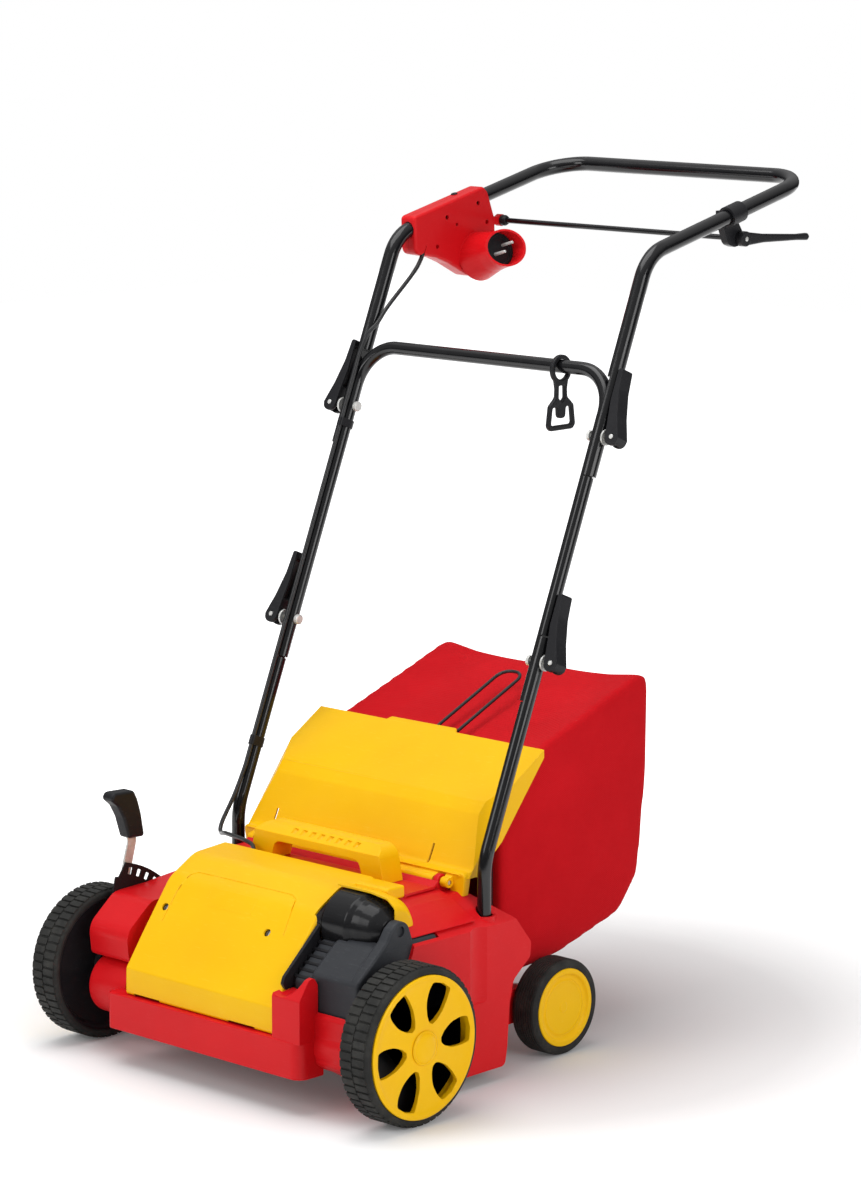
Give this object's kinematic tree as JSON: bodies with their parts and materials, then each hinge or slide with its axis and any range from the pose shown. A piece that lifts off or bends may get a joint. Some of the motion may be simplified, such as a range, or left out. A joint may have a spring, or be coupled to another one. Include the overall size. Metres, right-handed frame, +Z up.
{
  "type": "lawn scarifier",
  "caption": "Walk-behind electric lawn scarifier with a depth lever, folding tube handle, switch lever, rear flap and a rear fabric catcher bag on four wheels.",
  "frame": {"origin": "on the ground, below the middle of the bounding box", "axes": "+Z up, +X to the right seen from the operator, -Y to the front, and the operator stands at +Y"},
  "size_m": [0.588, 0.8925, 1.0523],
  "materials": {
    "red_plastic": "moulded, satin gloss",
    "yellow_plastic": "moulded, satin gloss",
    "black_plastic": "moulded, fine grain",
    "grey_plastic": "moulded, fine grain",
    "tyre_rubber": "matt",
    "painted_tube": "gloss black paint",
    "zinc_steel": "zinc plated",
    "dark_steel": "dark, uncoated",
    "bag_fabric": "woven, coated",
    "coated_wire": "plastic coated",
    "motor_winding": "lacquered copper"
  },
  "bodies": {
    "machine": {"chassis": "red_plastic", "motor_cover": "yellow_plastic", "cover_screw_1": "dark_steel", "cover_screw_2": "dark_steel", "carry_handle": "yellow_plastic", "belt_cover": "grey_plastic", "motor_stator": "dark_steel", "motor_cradle": "grey_plastic", "motor_end_cap": "black_plastic", "depth_sector": "black_plastic", "rear_axle": "zinc_steel", "roller_bearing_left": "zinc_steel", "roller_bearing_right": "zinc_steel", "drive_belt": "tyre_rubber", "flap_rod": "zinc_steel", "lower_tube_left": "painted_tube", "lower_tube_right": "painted_tube", "clamp_bolt_lower_left": "zinc_steel", "clamp_bolt_lower_right": "zinc_steel", "motor_cable_lower": "coated_wire", "cable_clip_lower": "black_plastic"},
    "depth": {"crank_axle": "zinc_steel", "depth_lever": "zinc_steel", "lever_grip": "black_plastic"},
    "front_wheel_left": {"front_tyre_left": "tyre_rubber", "front_hub_left": "yellow_plastic", "hub_cap_left": "yellow_plastic"},
    "front_wheel_right": {"front_tyre_right": "tyre_rubber", "front_hub_right": "yellow_plastic", "hub_cap_right": "yellow_plastic"},
    "rear_wheel_left": {"rear_tyre_left": "tyre_rubber", "rear_disc_left": "yellow_plastic"},
    "rear_wheel_right": {"rear_tyre_right": "tyre_rubber", "rear_disc_right": "yellow_plastic"},
    "roller": {"blade_roller": "dark_steel", "roller_pulley": "grey_plastic"},
    "rotor": {"motor_rotor": "motor_winding", "motor_pulley": "zinc_steel"},
    "flap": {"rear_flap": "yellow_plastic"},
    "bag": {"catcher_bag": "bag_fabric", "bag_frame": "coated_wire", "bag_carry_loop": "coated_wire"},
    "middle": {"middle_frame": "painted_tube", "clamp_bolt_upper_left": "zinc_steel", "clamp_bolt_upper_right": "zinc_steel", "motor_cable_middle": "coated_wire", "cable_clip_joint": "black_plastic"},
    "upper": {"upper_frame": "painted_tube", "switch_box_inner": "red_plastic", "switch_box_outer": "red_plastic", "inlet_insert": "black_plastic", "lever_bracket": "black_plastic", "motor_cable_upper": "coated_wire"},
    "cam_lower_left": {"cam_lever_lower_left": "black_plastic"},
    "cam_lower_right": {"cam_lever_lower_right": "black_plastic"},
    "cam_upper_left": {"cam_lever_upper_left": "black_plastic"},
    "cam_upper_right": {"cam_lever_upper_right": "black_plastic"},
    "button": {"lock_button": "black_plastic"},
    "lever": {"switch_lever": "black_plastic"},
    "hook": {"cord_hook": "black_plastic"}
  },
  "joints": [
    {"name": "depth_crank", "type": "hinge", "parent": "machine", "child": "depth", "pos_m": [0, -0.37145, 0.08], "axis": [-1, 0, 0], "range_deg": [0, 24]},
    {"name": "front_wheel_left_spin", "type": "hinge", "parent": "depth", "child": "front_wheel_left", "pos_m": [-0.243, -0.35145, 0.095], "axis": [1, 0, 0], "continuous": true},
    {"name": "front_wheel_right_spin", "type": "hinge", "parent": "depth", "child": "front_wheel_right", "pos_m": [0.243, -0.35145, 0.095], "axis": [1, 0, 0], "continuous": true},
    {"name": "rear_wheel_left_spin", "type": "hinge", "parent": "machine", "child": "rear_wheel_left", "pos_m": [-0.179, -0.02375, 0.0595], "axis": [1, 0, 0], "continuous": true},
    {"name": "rear_wheel_right_spin", "type": "hinge", "parent": "machine", "child": "rear_wheel_right", "pos_m": [0.179, -0.02375, 0.0595], "axis": [1, 0, 0], "continuous": true},
    {"name": "roller_spin", "type": "hinge", "parent": "machine", "child": "roller", "pos_m": [0, -0.26645, 0.0625], "axis": [1, 0, 0], "continuous": true},
    {"name": "rotor_spin", "type": "hinge", "parent": "machine", "child": "rotor", "pos_m": [0, -0.31145, 0.207], "axis": [1, 0, 0], "continuous": true},
    {"name": "flap_hinge", "type": "hinge", "parent": "machine", "child": "flap", "pos_m": [0, -0.18145, 0.237], "axis": [1, 0, 0], "range_deg": [0, 35]},
    {"name": "bag_off", "type": "slide", "parent": "machine", "child": "bag", "axis": [0, 0.9659, 0.259], "range_m": [0, 0.2]},
    {"name": "handle_fold_low", "type": "hinge", "parent": "machine", "child": "middle", "pos_m": [0, -0.06982, 0.4944], "axis": [-1, 0, 0], "range_deg": [-110, 0], "deforming": ["motor_cable_lower", "motor_cable_middle"]},
    {"name": "handle_fold_up", "type": "hinge", "parent": "middle", "child": "upper", "pos_m": [0, 0.03739, 0.7545], "axis": [1, 0, 0], "range_deg": [0, 150], "deforming": ["motor_cable_upper", "motor_cable_middle"]},
    {"name": "cam_lower_left_turn", "type": "hinge", "parent": "machine", "child": "cam_lower_left", "pos_m": [-0.2365, -0.06982, 0.4944], "axis": [0, -0.9245, 0.3811], "range_deg": [0, 90]},
    {"name": "cam_lower_right_turn", "type": "hinge", "parent": "machine", "child": "cam_lower_right", "pos_m": [0.2365, -0.06982, 0.4944], "axis": [0, 0.9245, -0.3811], "range_deg": [0, 90]},
    {"name": "cam_upper_left_turn", "type": "hinge", "parent": "middle", "child": "cam_upper_left", "pos_m": [-0.2365, 0.03739, 0.7545], "axis": [0, -0.9245, 0.3811], "range_deg": [0, 90]},
    {"name": "cam_upper_right_turn", "type": "hinge", "parent": "middle", "child": "cam_upper_right", "pos_m": [0.2365, 0.03739, 0.7545], "axis": [0, 0.9245, -0.3811], "range_deg": [0, 90]},
    {"name": "lock_button_press", "type": "slide", "parent": "upper", "child": "button", "axis": [0, 0.2373, -0.9714], "range_m": [0, 0.0018], "stiffness_N_per_m": 300, "springref_m": -0.001},
    {"name": "switch_lever_pull", "type": "hinge", "parent": "upper", "child": "lever", "pos_m": [0, 0.31155, 0.974], "axis": [1, 0, 0], "range_deg": [0, 22], "stiffness_Nm_per_rad": 0.5, "springref_deg": -11.46},
    {"name": "cord_hook_swing", "type": "hinge", "parent": "middle", "child": "hook", "pos_m": [0.1205, 0.06826, 0.8294], "axis": [1, 0, 0], "range_deg": [-70, 70]}
  ],
  "couplings": [
    {"joint": "rotor_spin", "follows": "roller_spin", "ratio": 2.5}
  ]
}
